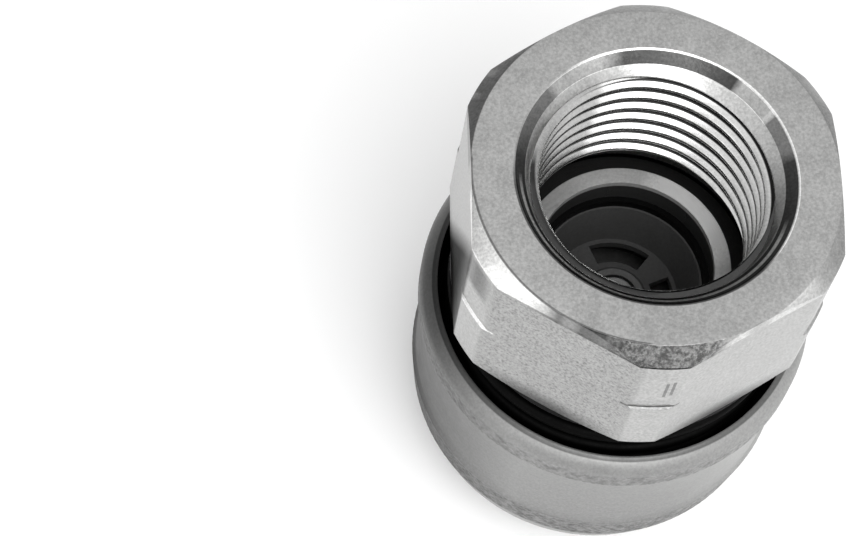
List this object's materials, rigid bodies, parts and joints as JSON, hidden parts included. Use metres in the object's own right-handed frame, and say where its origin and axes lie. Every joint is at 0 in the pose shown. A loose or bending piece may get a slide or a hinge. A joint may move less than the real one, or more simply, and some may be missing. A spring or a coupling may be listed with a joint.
{
  "type": "quick connect coupler socket",
  "caption": "Female quick connect coupler socket with a hexagon port body, a female pipe thread, a sliding spring-loaded release sleeve, locking balls and a poppet valve.",
  "frame": {"origin": "centre of the nose face, on the flow axis, where the coupler stands", "axes": "+Z along the flow axis from the nose to the threaded port; +X through a flat of the hexagon"},
  "size_m": [0.0344, 0.0344, 0.047],
  "materials": {
    "port_body_steel": "machined, zinc-nickel grey",
    "barrel_steel": "machined",
    "sleeve_steel": "machined, knurled bands",
    "ring_steel": "blackened",
    "spring_steel": "blackened wire",
    "washer_steel": "blackened",
    "seal_rubber": "moulded",
    "backup_polymer": "cut polymer",
    "body_seal_rubber": "moulded",
    "guide_steel": "blackened, pressed",
    "snap_ring_steel": "blackened",
    "poppet_steel": "machined",
    "valve_seal_rubber": "moulded",
    "valve_spring_steel": "drawn wire",
    "ball_steel": "polished"
  },
  "bodies": {
    "coupler_body": {"port_body": "port_body_steel", "socket_barrel": "barrel_steel", "spring_seat_washer": "washer_steel", "front_retaining_ring": "ring_steel", "socket_o_ring": "seal_rubber", "backup_ring": "backup_polymer", "body_o_ring": "body_seal_rubber", "valve_guide": "guide_steel", "guide_snap_ring": "snap_ring_steel", "sleeve_spring": "spring_steel", "poppet_spring": "valve_spring_steel"},
    "sleeve": {"release_sleeve": "sleeve_steel"},
    "valve": {"poppet": "poppet_steel", "poppet_seal": "valve_seal_rubber"},
    "ball_1": {"locking_ball_1": "ball_steel"},
    "ball_2": {"locking_ball_2": "ball_steel"},
    "ball_3": {"locking_ball_3": "ball_steel"},
    "ball_4": {"locking_ball_4": "ball_steel"},
    "ball_5": {"locking_ball_5": "ball_steel"},
    "ball_6": {"locking_ball_6": "ball_steel"},
    "ball_7": {"locking_ball_7": "ball_steel"},
    "ball_8": {"locking_ball_8": "ball_steel"}
  },
  "joints": [
    {"name": "sleeve_slide", "type": "slide", "parent": "coupler_body", "child": "sleeve", "axis": [0, 0, 1], "range_m": [0, 0.0042], "stiffness_N_per_m": 2000, "springref_m": -0.006, "deforming": ["sleeve_spring"]},
    {"name": "poppet_slide", "type": "slide", "parent": "coupler_body", "child": "valve", "axis": [0, 0, 1], "range_m": [0, 0.0024], "stiffness_N_per_m": 1500, "springref_m": -0.004, "deforming": ["poppet_spring"]},
    {"name": "ball_1_slide", "type": "slide", "parent": "coupler_body", "child": "ball_1", "axis": [1, 0, 0], "range_m": [0, 0.00086]},
    {"name": "ball_2_slide", "type": "slide", "parent": "coupler_body", "child": "ball_2", "axis": [0.7071, 0.7071, 0], "range_m": [0, 0.00086]},
    {"name": "ball_3_slide", "type": "slide", "parent": "coupler_body", "child": "ball_3", "axis": [0, 1, 0], "range_m": [0, 0.00086]},
    {"name": "ball_4_slide", "type": "slide", "parent": "coupler_body", "child": "ball_4", "axis": [-0.7071, 0.7071, 0], "range_m": [0, 0.00086]},
    {"name": "ball_5_slide", "type": "slide", "parent": "coupler_body", "child": "ball_5", "axis": [-1, 0, 0], "range_m": [0, 0.00086]},
    {"name": "ball_6_slide", "type": "slide", "parent": "coupler_body", "child": "ball_6", "axis": [-0.7071, -0.7071, 0], "range_m": [0, 0.00086]},
    {"name": "ball_7_slide", "type": "slide", "parent": "coupler_body", "child": "ball_7", "axis": [0, -1, 0], "range_m": [0, 0.00086]},
    {"name": "ball_8_slide", "type": "slide", "parent": "coupler_body", "child": "ball_8", "axis": [0.7071, -0.7071, 0], "range_m": [0, 0.00086]}
  ],
  "couplings": [
    {"joint": "ball_1_slide", "follows": "sleeve_slide", "ratio": 0.2047},
    {"joint": "ball_2_slide", "follows": "sleeve_slide", "ratio": 0.2047},
    {"joint": "ball_3_slide", "follows": "sleeve_slide", "ratio": 0.2047},
    {"joint": "ball_4_slide", "follows": "sleeve_slide", "ratio": 0.2047},
    {"joint": "ball_5_slide", "follows": "sleeve_slide", "ratio": 0.2047},
    {"joint": "ball_6_slide", "follows": "sleeve_slide", "ratio": 0.2047},
    {"joint": "ball_7_slide", "follows": "sleeve_slide", "ratio": 0.2047},
    {"joint": "ball_8_slide", "follows": "sleeve_slide", "ratio": 0.2047}
  ]
}
